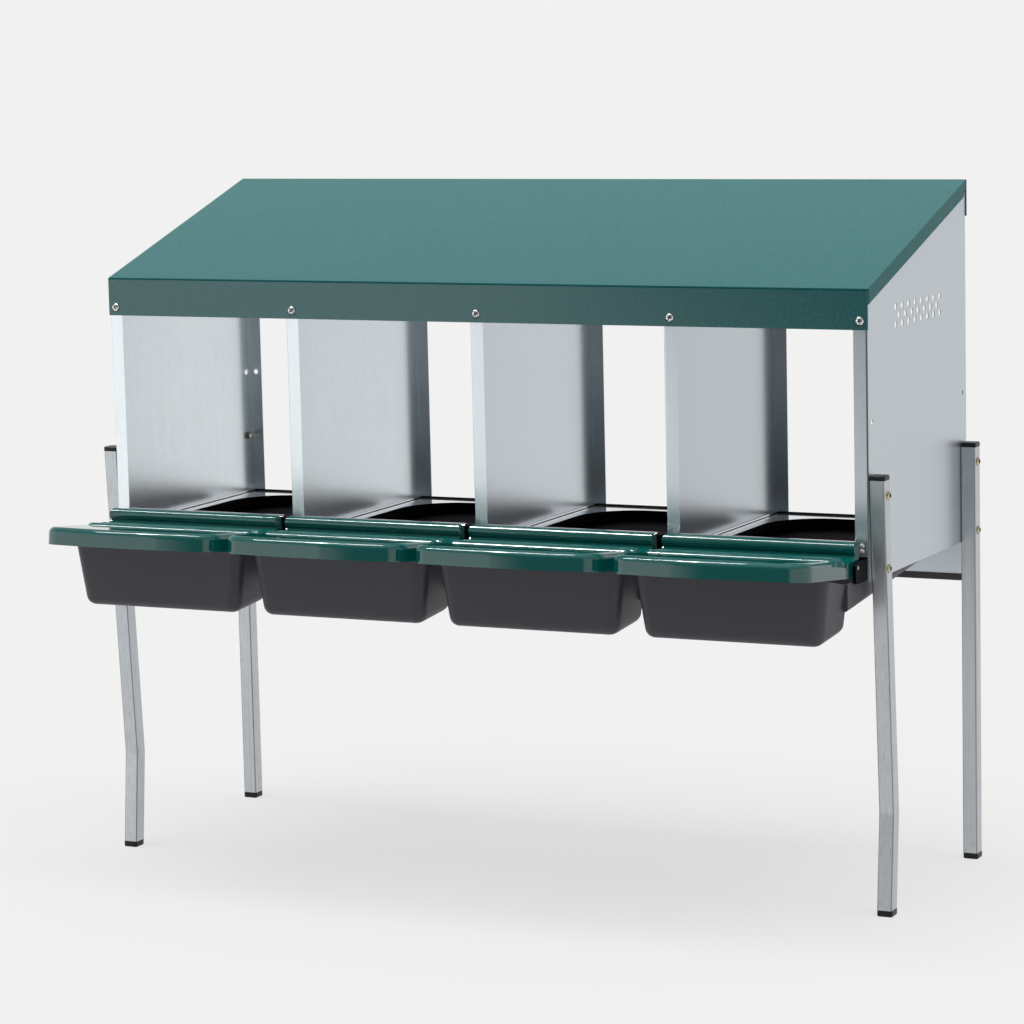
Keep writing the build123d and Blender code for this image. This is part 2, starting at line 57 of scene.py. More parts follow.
class Socket:
    """Output of a node that takes part in arithmetic."""

    def __init__(self, graph: "Graph", socket: Optional[bpy.types.NodeSocket]) -> None:
        """Keeps the socket and the graph that new Math nodes go to."""
        self.graph = graph
        self.socket = socket

    def maths(self, operation: str, first: "Value", second: "Value" = 0.0) -> "Socket":
        """One Math node.

        Args:
            operation: The node's operation.
            first: Value or socket of the first input.
            second: Value or socket of the second input.

        Returns:
            The result's socket.
        """
        return self.graph.node("ShaderNodeMath", {"operation": operation}, {0: first, 1: second})

    def __add__(self, other: "Value") -> "Socket":
        """Sum."""
        return self.maths("ADD", self, other)

    __radd__ = __add__

    def __mul__(self, other: "Value") -> "Socket":
        """Product."""
        return self.maths("MULTIPLY", self, other)

    __rmul__ = __mul__

    def __sub__(self, other: "Value") -> "Socket":
        """Difference."""
        return self.maths("SUBTRACT", self, other)

    def __rsub__(self, other: "Value") -> "Socket":
        """Difference with the socket taken away."""
        return self.maths("SUBTRACT", other, self)

    def __gt__(self, other: "Value") -> "Socket":
        """One where the socket is greater."""
        return self.maths("GREATER_THAN", self, other)

    def __lt__(self, other: "Value") -> "Socket":
        """One where the socket is smaller."""
        return self.maths("LESS_THAN", self, other)

    def __or__(self, other: "Value") -> "Socket":
        """The greater of two, which for masks is either."""
        return self.maths("MAXIMUM", self, other)

    def __abs__(self) -> "Socket":
        """Value without its sign."""
        return self.maths("ABSOLUTE", self)


Value = Union[Socket, float, int, str, tuple, list]


class Noise(NamedTuple):
    """Soft noise: waves per metre, octaves, weight of the finer ones and stretch by axis."""

    scale: float
    detail: float = 3.0
    rough: float = 0.5
    stretch: Triple = (1.0, 1.0, 1.0)


class Relief(NamedTuple):
    """Bumps: share of the effect, and height of level 1 in millimetres."""

    strength: float
    height: float


def dimmed(colour: Triple, share: float) -> Triple:
    """Colour with each channel brought down to a share."""
    return tuple(share * channel for channel in colour)


class Graph:
    """Node tree of a material, a world or a shape, filled in by expressions."""

    def __init__(self, tree: bpy.types.NodeTree) -> None:
        """Starts on an empty tree."""
        self.tree = tree
        tree.nodes.clear()

    def node(
        self,
        kind: str,
        settings: Optional[dict] = None,
        inputs: Optional[dict] = None,
        output: Union[int, str] = 0,
    ) -> Socket:
        """Adds any node.

        Args:
            kind: The node's type.
            settings: Properties that are set before the sockets; "stops" fills a ramp.
            inputs: Values, sockets or lists of sockets by input name or number.
            output: Output that is returned.

        Returns:
            The chosen output.
        """
        made = self.tree.nodes.new(kind)
        for name, value in (settings or {}).items():
            if name == "stops":
                self._ramp(made.color_ramp, value)
            else:
                setattr(made, name, value)
        for name, value in (inputs or {}).items():
            target = made.inputs[name]
            if isinstance(value, (Socket, list)):
                for source in value if isinstance(value, list) else [value]:
                    self.tree.links.new(source.socket, target)
            elif target.type == "RGBA" and len(value) == 3:
                target.default_value = (*value, 1.0)
            else:
                target.default_value = value
        return Socket(self, made.outputs[output] if made.outputs else None)

    @staticmethod
    def _ramp(ramp: bpy.types.ColorRamp, stops: Iterable[Pair]) -> None:
        """Fills a ramp with grey stops.

        Args:
            ramp: The ramp.
            stops: Position and level of each stop.
        """
        stops = list(stops)
        while len(ramp.elements) < len(stops):
            ramp.elements.new(1.0)
        for element, (position, level) in zip(ramp.elements, stops):
            element.position = position
            element.color = (level, level, level, 1.0)

    def place(self, stretch: Triple = (1.0, 1.0, 1.0)) -> Socket:
        """Object coordinates in metres, multiplied along each axis."""
        coordinates = self.node("ShaderNodeTexCoord", output="Object")
        return self.node("ShaderNodeMapping", None, {"Vector": coordinates, "Scale": stretch})

    def along(self, axis: str) -> Socket:
        """One object coordinate in metres, by its letter."""
        return self.node("ShaderNodeSeparateXYZ", None, {"Vector": self.place()}, axis)

    def noise(self, kind: Noise) -> Socket:
        """Soft noise from 0 to 1.

        Args:
            kind: Its scale, octaves and stretch.

        Returns:
            The level.
        """
        inputs = {
            "Vector": self.place(kind.stretch),
            "Scale": kind.scale,
            "Detail": kind.detail,
            "Roughness": kind.rough,
        }
        return self.node("ShaderNodeTexNoise", None, inputs, "Fac")

    @staticmethod
    def sway(level: Socket, amount: float) -> Socket:
        """Noise about zero, half the amount to either side."""
        return (level - NOISE_MEAN) * amount

    @staticmethod
    def blend(*parts: tuple[Socket, float]) -> Socket:
        """Sum of levels, each times its share."""
        first, *others = [level * share for level, share in parts]
        return sum(others, first)

    @staticmethod
    def between(level: Socket, low: float, high: float) -> Socket:
        """One where a level lies between two bounds."""
        return (level > low) * (level < high)

    def steps(self, level: Socket, *stops: Pair) -> Socket:
        """Level passed through a ramp of grey stops."""
        return self.node("ShaderNodeValToRGB", {"stops": stops}, {"Fac": level})

    def rise(self, level: Socket, low: float, high: float) -> Socket:
        """Straight rise from 0 at low to 1 at high."""
        return self.steps(level, (low, 0.0), (high, 1.0))

    def span(self, level: Socket, low: float, high: float) -> Socket:
        """Smooth rise from 0 at low to 1 at high."""
        inputs = {"Value": level, "From Min": low, "From Max": high}
        return self.node("ShaderNodeMapRange", {"interpolation_type": "SMOOTHSTEP"}, inputs)

    def mix(self, factor: Value, first: Value, second: Value) -> Socket:
        """Mix of two colours.

        Args:
            factor: Share of the second colour.
            first: Colour or socket.
            second: Colour or socket.

        Returns:
            The mixed colour.
        """
        # The node has sockets for each kind of data: 6, 7 and output 2 are its colours.
        inputs = {0: factor, 6: first, 7: second}
        return self.node("ShaderNodeMix", {"data_type": "RGBA"}, inputs, 2)

    def bump(self, level: Socket, relief: Relief, under: Optional[Socket] = None) -> Socket:
        """Normal from a height field.

        Args:
            level: Level from 0 to 1.
            relief: Strength and height of the bumps.
            under: Normal that the bumps are added to.

        Returns:
            The normal.
        """
        inputs = {"Height": level, "Strength": relief.strength, "Distance": relief.height * MM}
        if under:
            inputs["Normal"] = under
        return self.node("ShaderNodeBump", None, inputs)

    def shader(self, **inputs: Value) -> Socket:
        """Principled shader with inputs by name, spaces as underscores."""
        named = {name.replace("_", " "): value for name, value in inputs.items()}
        return self.node("ShaderNodeBsdfPrincipled", None, named)

    def output(self, shader: Socket) -> None:
        """Ends the tree of a material in a shader."""
        self.node("ShaderNodeOutputMaterial", None, {"Surface": shader})

    def surface(self, **inputs: Value) -> None:
        """Ends the tree of a material in a Principled shader, with inputs as for shader."""
        self.output(self.shader(**inputs))


class Finish:
    """Surface finish that makes one material the first time it is asked for."""

    name: str = "finish"
    made: ClassVar[dict[str, bpy.types.Material]] = {}

    def material(self) -> bpy.types.Material:
        """The finish's material.

        Returns:
            The material.
        """
        if self.name not in self.made:
            material = bpy.data.materials.new(self.name)
            material.use_nodes = True
            self.made[self.name] = material
            self.fill(Graph(material.node_tree))
        return self.made[self.name]

    def fill(self, graph: Graph) -> None:
        """Builds the node tree."""
        raise NotImplementedError


@dataclass(frozen=True)
class ZincSheet(Finish):
    """Galvanised sheet with faint spangle, rolling streaks and a cloudy sheen; millimetres.

    Painted shade darkens the sheets from left to right, the front folds less so. Outer faces are
    rougher; a painted highlight makes the cut edges of the side panels pale, and painted shade
    makes the front fold of the right one dark.
    """

    name: str = "galvanised_sheet"
    bright: Triple = (0.9, 0.955, 0.99)
    dull: Triple = (0.81, 0.875, 0.925)
    spangle: float = 130.0
    spangle_share: float = 0.14
    cloud: Noise = Noise(6.0, 4.0)
    cloud_share: float = 0.36
    streak: Noise = Noise(1.0, 3.0, 0.6, (260.0, 260.0, 3.0))
    streak_share: float = 0.5
    contrast: Pair = (0.3, 0.7)
    painted_shade: Triple = (0.6, 0.655, 0.7)
    painted_shade_share: float = 0.87
    shade_from: float = -560.0
    shade_to: float = 420.0
    front_face: float = -77.1
    front_shade_spared: float = 0.63
    outer_face: float = 539.5
    outer_dull: float = 0.1
    cut: Triple = (1.0, 1.0, 1.0)
    cut_edge: Pair = (539.04, 539.96)
    cut_metal: float = 0.5
    fold: Triple = (0.16, 0.175, 0.19)
    fold_side: float = 538.3
    fold_back: float = -75.8
    metal: float = 0.76
    roughness: float = 0.25
    cloud_gloss: float = 0.06
    streak_gloss: float = 0.05
    relief: Relief = Relief(0.02, 0.1)

    def fill(self, graph: Graph) -> None:
        """Builds the node tree.

        Args:
            graph: The material's tree.
        """
        inputs = {"Vector": graph.place(), "Scale": self.spangle, "Randomness": 1.0}
        cells = graph.node("ShaderNodeTexVoronoi", {"feature": "F1"}, inputs, "Color")
        facet = graph.node("ShaderNodeSeparateColor", None, {"Color": cells})
        cloud, streak = graph.noise(self.cloud), graph.noise(self.streak)
        mottle = graph.blend(
            (facet, self.spangle_share),
            (cloud, self.cloud_share),
            (streak, self.streak_share),
        )
        fresh = graph.mix(graph.rise(mottle, *self.contrast), self.dull, self.bright)
        x, y = graph.along("X"), graph.along("Y")
        # Painted shade: the sheets are darkened from left to right, less on the front folds.
        shade_kept = 1.0 - (y < self.front_face * MM) * self.front_shade_spared
        shade_mask = graph.span(x, self.shade_from * MM, self.shade_to * MM) * shade_kept * self.painted_shade_share
        outer = abs(x) > self.outer_face * MM
        # Painted highlight: the cut edges of the side panels are painted white and made less
        # metallic.
        cut = graph.between(abs(x), self.cut_edge[0] * MM, self.cut_edge[1] * MM)
        # Painted shade: the front fold of the right panel is painted dark.
        fold = (x > self.fold_side * MM) * (y < self.fold_back * MM)
        sheet = graph.mix(cut, graph.mix(shade_mask, fresh, self.painted_shade), self.cut)
        graph.surface(
            Base_Color=graph.mix(fold, sheet, self.fold),
            Metallic=self.metal - cut * self.cut_metal,
            Roughness=self.roughness
            + outer * self.outer_dull
            + graph.sway(cloud, self.cloud_gloss)
            + graph.sway(streak, self.streak_gloss),
            Normal=graph.bump(streak, self.relief),
        )


@dataclass(frozen=True)
class ZincTube(Finish):
    """Galvanised square tube with drawing lines, blotches, scuffs and painted shade darkening its
    corners; millimetres.

    The tubes stand as far to the left of the middle as to the right of it.
    """

    name: str = "galvanised_tube"
    bright: Triple = (0.65, 0.685, 0.715)
    dull: Triple = (0.45, 0.475, 0.5)
    drawn: Noise = Noise(1.0, 4.0, 0.65, (900.0, 900.0, 6.0))
    drawn_share: float = 0.8
    blotch: Noise = Noise(34.0, 4.0, 0.6)
    blotch_share: float = 0.2
    contrast: Pair = (0.3, 0.7)
    scuffed: Triple = (0.2, 0.21, 0.22)
    scuff: Noise = Noise(120.0, 4.0, 0.7, (1.0, 1.0, 0.35))
    scuff_range: Pair = (0.6, 0.74)
    scuffs: float = 0.3
    middle: float = 550.0
    corner: Pair = (8.3, 9.7)
    corner_shade: float = 0.75
    metal: float = 0.86
    roughness: float = 0.34
    blotch_gloss: float = 0.05
    scuff_dull: float = 0.06
    relief: Relief = Relief(0.08, 0.15)

    def fill(self, graph: Graph) -> None:
        """Builds the node tree.

        Args:
            graph: The material's tree.
        """
        drawn, blotch = graph.noise(self.drawn), graph.noise(self.blotch)
        scuff = graph.rise(graph.noise(self.scuff), *self.scuff_range)
        mottle = graph.blend((drawn, self.drawn_share), (blotch, self.blotch_share))
        body = graph.mix(graph.rise(mottle, *self.contrast), self.dull, self.bright)
        # Painted shade: bands along the tube corners are darkened with the scuff colour, which the
        # scuffs also use.
        aside = abs(abs(graph.along("X")) - self.middle * MM)
        corner = graph.between(aside, self.corner[0] * MM, self.corner[1] * MM)
        scuff_and_shade = scuff * self.scuffs * (1.0 - corner) + corner * self.corner_shade
        graph.surface(
            Base_Color=graph.mix(scuff_and_shade, body, self.scuffed),
            Metallic=self.metal,
            Roughness=self.roughness
            + graph.sway(blotch, self.blotch_gloss)
            + scuff * self.scuff_dull,
            Normal=graph.bump(drawn, self.relief),
        )


@dataclass(frozen=True)
class RoofPaint(Finish):
    """Green powder coat, finely mottled and a little dusty; millimetres.

    It has painted light that makes it paler to the high rear, is duller at the sides and glossier
    on the fascia, and has painted shade that darkens the front fold.
    """

    name: str = "roof_powder_coat"
    deep: Triple = (0.006, 0.165, 0.17)
    pale: Triple = (0.034, 0.212, 0.218)
    cloud: Noise = Noise(5.0, 4.0)
    cloud_share: float = 0.4
    light_front: float = -120.0
    light_rear: float = 300.0
    light_share: float = 0.6
    speckle: Noise = Noise(230.0, 2.0)
    mottle: float = 2.4
    dusty: Triple = (0.2, 0.28, 0.27)
    dust: Noise = Noise(420.0, 3.0, 0.7)
    dust_range: Pair = (0.62, 0.8)
    dust_share: float = 0.12
    side_face: float = 541.2
    side_dull: float = 0.3
    fascia_face: float = -77.8
    fascia_gloss: float = 0.13
    fold_low: float = 784.2
    fold_back: float = -76.6
    fold_dull: float = 0.5
    fold_painted_shade: float = 0.95
    fold_shade: float = 0.4
    roughness: float = 0.32
    cloud_gloss: float = 0.08
    speckle_gloss: float = 0.03
    dust_dull: float = 0.1
    specular: float = 0.8
    peel: Noise = Noise(900.0, 2.0)
    relief: Relief = Relief(0.12, 0.12)

    def fill(self, graph: Graph) -> None:
        """Builds the node tree.

        Args:
            graph: The material's tree.
        """
        y = graph.along("Y")
        side = abs(graph.along("X")) > self.side_face * MM
        fascia = y < self.fascia_face * MM
        fold = (graph.along("Z") > self.fold_low * MM) * (y < self.fold_back * MM)
        # Painted shade: the front fold is darkened and made metallic so that it shows as a dark
        # line.
        dark = fold * self.fold_painted_shade
        # Painted light: the paint gets paler towards the high rear.
        lit_rear = graph.span(y, self.light_front * MM, self.light_rear * MM)
        cloud = graph.noise(self.cloud)
        dust = graph.rise(graph.noise(self.dust), *self.dust_range)
        speckle = graph.sway(graph.noise(self.speckle), self.mottle)
        tone = graph.blend((cloud, self.cloud_share), (lit_rear, self.light_share)) + speckle
        paint = graph.mix(tone, self.deep, self.pale)
        coat = graph.mix(dust * self.dust_share, paint, self.dusty)
        graph.surface(
            Base_Color=graph.mix(dark, coat, dimmed(self.deep, self.fold_shade)),
            Metallic=dark,
            Roughness=self.roughness
            + side * self.side_dull
            + fold * self.fold_dull
            - fascia * self.fascia_gloss
            + graph.sway(cloud, self.cloud_gloss)
            + speckle * self.speckle_gloss
            + dust * self.dust_dull,
            Specular_IOR_Level=self.specular,
            Normal=graph.bump(graph.noise(self.peel), self.relief),
        )


@dataclass(frozen=True)
class Plastic(Finish):
    """What the injection mouldings share: faint flow clouds, fine grain and rubbed places."""

    name: str = "plastic"
    colour: Triple = (0.05, 0.05, 0.055)
    flow: Noise = Noise(9.0, 3.0, stretch=(1.0, 1.0, 2.5))
    flow_shade: float = 0.88
    flow_gloss: float = 0.08
    grain: Noise = Noise(1600.0, 2.0)
    scuffed: Triple = (0.12, 0.12, 0.125)
    scuffs: float = 0.15
    rub: Noise = Noise(60.0, 5.0, 0.75)
    rub_range: Pair = (0.58, 0.75)
    rub_dull: float = 0.08
    roughness: float = 0.5
    specular: float = 0.5

    def skin(self, graph: Graph, tone: Socket, flow: Socket, normal: Socket) -> Socket:
        """Shader of the plastic.

        Args:
            graph: The material's tree.
            tone: Level from the deeper shade to the full colour.
            flow: Level of the flow clouds.
            normal: The surface's normal.

        Returns:
            The shader.
        """
        rub = graph.rise(graph.noise(self.rub), *self.rub_range)
        body = graph.mix(tone, dimmed(self.colour, self.flow_shade), self.colour)
        return graph.shader(
            Base_Color=graph.mix(rub * self.scuffs, body, self.scuffed),
            Roughness=self.roughness + graph.sway(flow, self.flow_gloss) + rub * self.rub_dull,
            Specular_IOR_Level=self.specular,
            Normal=normal,
        )


@dataclass(frozen=True)
class Moulding(Plastic):
    """Injection moulding with fine grain on faint sink marks."""

    name: str = "moulding"
    relief: Relief = Relief(0.1, 0.1)
    sink: Noise = Noise(14.0, 1.0)
    sink_relief: Relief = Relief(0.0, 2.0)

    def fill(self, graph: Graph) -> None:
        """Builds the node tree.

        Args:
            graph: The material's tree.
        """
        flow = graph.noise(self.flow)
        grain = graph.bump(graph.noise(self.grain), self.relief)
        normal = graph.bump(graph.noise(self.sink), self.sink_relief, grain)
        graph.output(self.skin(graph, flow, flow, normal))


@dataclass(frozen=True)
class Bay:
    """Where the mouldings of a bay lie, for finishes that differ by place; millimetres."""

    pitch: float = 270.0
    front: float = -77.43
    rim_top: float = 450.0
    bar_top: float = 474.0

    def across(self, graph: Graph) -> Socket:
        """Distance from the middle of the bay, in metres.

        Args:
            graph: The material's tree.

        Returns:
            The distance.
        """
        bays = graph.along("X") * (1 / (self.pitch * MM))
        return abs(bays.maths("FRACT", bays) - 0.5) * (self.pitch * MM)

    def inside(self, graph: Graph) -> Socket:
        """Distance behind the front of the house, in metres."""
        return graph.along("Y") - self.front * MM


@dataclass(frozen=True)
class TubMoulding(Plastic):
    """Charcoal moulding, with fine drawn lines outside and painted shade that makes it deep black
    inside; millimetres.
    """

    name: str = "tub_charcoal"
    colour: Triple = (0.1, 0.097, 0.121)
    flow_shade: float = 0.86
    grain: Noise = Noise(1500.0, 2.0)
    drawn: Noise = Noise(1.0, 3.0, 0.6, (420.0, 420.0, 8.0))
    drawn_share: float = 0.4
    relief: Relief = Relief(0.14, 0.1)
    scuffed: Triple = (0.1, 0.1, 0.112)
    scuffs: float = 0.12
    roughness: float = 0.46
    painted_inside_shade: Triple = (0.03, 0.026, 0.036)
    inner_rough: float = 0.8
    inner_specular: float = 0.2
    bay: Bay = Bay()
    half: float = 126.5
    front: float = -40.0
    back: float = 344.5
    floor_front: float = 396.0
    floor_rise: float = 0.091
    pan_front: float = -57.0

    def room(self, graph: Graph) -> Socket:
        """One inside the tub.

        Args:
            graph: The material's tree.

        Returns:
            The mask.
        """
        depth = self.bay.inside(graph)
        floor = (depth - self.pan_front * MM) * self.floor_rise + self.floor_front * MM
        wide = self.bay.across(graph) < self.half * MM
        deep = graph.between(depth, self.front * MM, self.back * MM)
        return wide * deep * (graph.along("Z") > floor)

    def fill(self, graph: Graph) -> None:
        """Builds the node tree.

        Args:
            graph: The material's tree.
        """
        flow, drawn = graph.noise(self.flow), graph.noise(self.drawn)
        lines = (drawn, self.drawn_share)
        tone = graph.blend((flow, 1 - self.drawn_share), lines)
        rough = graph.blend((graph.noise(self.grain), 1 - self.drawn_share), lines)
        outer = self.skin(graph, tone, flow, graph.bump(rough, self.relief))
        # Painted shade: inside the tub the colour is darkened to near black.
        painted_inside_shade = graph.shader(
            Base_Color=self.painted_inside_shade,
            Roughness=self.inner_rough,
            Specular_IOR_Level=self.inner_specular,
        )
        inputs = {0: self.room(graph), 1: outer, 2: painted_inside_shade}
        graph.output(graph.node("ShaderNodeMixShader", None, inputs))


@dataclass(frozen=True)
class PolishedRim(Finish):
    """Black moulding with a mirror-bright rim, raised edge and bar top; millimetres."""

    name: str = "insert_black"
    colour: Triple = (0.0045, 0.004, 0.0055)
    bright: Triple = (0.93, 0.94, 0.97)
    bright_shade: float = 0.86
    metal: float = 0.9
    bay: Bay = Bay()
    rim_play: float = 0.05
    edge_foot: float = 1.0
    edge_top: float = 2.45
    edge_front: float = 30.0
    edge_rear: float = 365.5
    bar_edge: float = 1.5
    bar_half: float = 119.0
    front_face: float = 0.5
    roughness: float = 0.42
    body_gloss: float = 0.1
    polish: float = 0.09
    polish_gloss: float = 0.05
    specular: float = 0.04
    cloud: Noise = Noise(22.0, 3.0)
    wipe: Noise = Noise(1.0, 3.0, 0.6, (3.0, 140.0, 3.0))
    wipe_share: float = 0.5
    grain: Noise = Noise(2200.0, 2.0)
    relief: Relief = Relief(0.03, 0.08)

    def polished(self, graph: Graph) -> Socket:
        """One on the rim, the raised edge above its foot and the top of the bar.

        Args:
            graph: The material's tree.

        Returns:
            The mask.
        """
        height = graph.along("Z") - self.bay.rim_top * MM
        depth = self.bay.inside(graph)
        rim = graph.between(height, -self.rim_play * MM, self.rim_play * MM)
        side = (height > self.edge_foot * MM) * (depth < self.edge_rear * MM)
        edge = side | (height > self.edge_top * MM)
        edge = edge * (height < 2 * self.edge_top * MM) * (depth > self.edge_front * MM)
        bar = height > (self.bay.bar_top - self.bay.rim_top - self.bar_edge) * MM
        bar = bar * (self.bay.across(graph) < self.bar_half * MM)
        return (rim + edge + bar) * (depth > self.front_face * MM)

    def fill(self, graph: Graph) -> None:
        """Builds the node tree.

        Args:
            graph: The material's tree.
        """
        upper = self.polished(graph)
        cloud, wipe = graph.noise(self.cloud), graph.noise(self.wipe)
        mirror = graph.mix(cloud, dimmed(self.bright, self.bright_shade), self.bright)
        sheen = graph.sway(cloud, self.polish_gloss) + graph.sway(wipe, self.polish_gloss)
        fine = graph.blend(
            (graph.noise(self.grain), 1 - self.wipe_share),
            (wipe, self.wipe_share),
        )
        graph.surface(
            Base_Color=graph.mix(upper, self.colour, mirror),
            Metallic=upper * self.metal,
            Roughness=self.roughness
            + graph.sway(cloud, self.body_gloss)
            + upper * (self.polish + sheen - self.roughness),
            Specular_IOR_Level=self.specular,
            Normal=graph.bump(fine, self.relief),
        )


@dataclass(frozen=True)
class Plating(Finish):
    """Plated fastener: bright metal with cloudy passivation, and grime with painted shade in its
    recess.
    """

    name: str = "zinc_plate"
    first: Triple = (0.8, 0.81, 0.82)
    second: Triple = (0.62, 0.64, 0.66)
    cloud: Noise = Noise(260.0, 3.0, 0.6)
    contrast: Pair = (0.35, 0.65)
    metal: float = 1.0
    roughness: float = 0.24
    cloud_gloss: float = 0.15
    grime_and_shade: Triple = (0.05, 0.05, 0.045)
    grime_and_shade_share: float = 0.6
    grime_and_shade_dull: float = 0.3
    grain: Noise = Noise(2400.0, 2.0)
    relief: Relief = Relief(0.06, 0.05)

    def fill(self, graph: Graph) -> None:
        """Builds the node tree.

        Args:
            graph: The material's tree.
        """
        cloud = graph.noise(self.cloud)
        plate = graph.mix(graph.rise(cloud, *self.contrast), self.first, self.second)
        # Grime and painted shade: the recess gets its own colour and less metal.
        recess = graph.node("ShaderNodeAttribute", {"attribute_name": RECESS}, None, "Fac")
        graph.surface(
            Base_Color=graph.mix(recess, plate, self.grime_and_shade),
            Metallic=self.metal - recess * (self.grime_and_shade_share * self.metal),
            Roughness=self.roughness
            + graph.sway(cloud, self.cloud_gloss)
            + recess * self.grime_and_shade_dull,
            Normal=graph.bump(graph.noise(self.grain), self.relief),
        )


class Look(Enum):
    """The finishes of this nest box."""

    SHEET = ZincSheet()
    TUBE = ZincTube()
    ROOF = RoofPaint()
    TUB = TubMoulding()
    INSERT = PolishedRim()
    LID = Moulding(
        name="lid_green",
        colour=(0.002, 0.142, 0.127),
        grain=Noise(2600.0, 2.0),
        relief=Relief(0.015, 0.1),
        sink_relief=Relief(0.12, 2.0),
        scuffed=(0.03, 0.17, 0.158),
        scuffs=0.05,
        roughness=0.05,
        specular=0.75,
    )
    EDGING = Moulding(
        name="edging_black",
        colour=(0.07, 0.071, 0.075),
        grain=Noise(1800.0, 2.0),
        relief=Relief(0.08, 0.1),
        scuffed=(0.1, 0.1, 0.1),
        scuffs=0.2,
        roughness=0.4,
        specular=0.5,
    )
    TRIM = Moulding(
        name="trim_black",
        colour=(0.011, 0.011, 0.013),
        grain=Noise(1800.0, 2.0),
        relief=Relief(0.08, 0.1),
        scuffed=(0.03, 0.03, 0.03),
        scuffs=0.2,
        roughness=0.36,
        specular=0.3,
    )
    ZINC = Plating()
    RIVET = Plating(
        name="rivet_aluminium",
        first=(0.98, 0.98, 0.98),
        second=(0.95, 0.95, 0.96),
        metal=0.3,
        roughness=0.2,
        grime_and_shade=(0.8, 0.8, 0.8),
    )
    YELLOW = Plating(
        name="yellow_passivate",
        first=(0.66, 0.51, 0.3),
        second=(0.5, 0.44, 0.33),
        roughness=0.2,
    )
    PALE = Plating(
        name="pale_passivate",
        first=(0.72, 0.68, 0.58),
        second=(0.55, 0.53, 0.47),
        roughness=0.22,
    )


def dress(look: Look, *nodes: str) -> None:
    """Puts one finish on solids of the frame that keep their shape.

    Args:
        look: The finish.
        nodes: Names of the solids.
    """
    for name in nodes:
        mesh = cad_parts[name].data
        mesh.materials.clear()
        mesh.materials.append(look.value.material())
        log.info("%s: %s", name, look.value.name)


class Seat(NamedTuple):
    """Place and direction of one fastener."""

    place: Vector
    axis: Vector


def solids(node: str) -> list[list[Vector]]:
    """Corner points of each separate solid in a node.

    Args:
        node: Name of the node.

    Returns:
        One list of points per solid.
    """
    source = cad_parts[node]
    shape = bmesh.new()
    shape.from_mesh(source.data)
    bmesh.ops.remove_doubles(shape, verts=shape.verts, dist=WELD)
    found, seen = [], set()
    for start in shape.verts:
        if start in seen:
            continue
        group, queue = [], [start]
        seen.add(start)
        while queue:
            corner = queue.pop()
            group.append(source.matrix_world @ corner.co)
            near = {edge.other_vert(corner) for edge in corner.link_edges} - seen
            seen |= near
            queue.extend(near)
        found.append(group)
    shape.free()
    return found


def extent(points: list[Vector]) -> tuple[Vector, Vector]:
    """Lowest and highest corner of the box round some points."""
    columns = list(zip(*points))
    return Vector([min(column) for column in columns]), Vector([max(column) for column in columns])


def upright(side: int, length: float = 1.0) -> Vector:
    """Vector of some length along one of the three axes, by its number."""
    return Vector([length if i == side else 0.0 for i in range(3)])


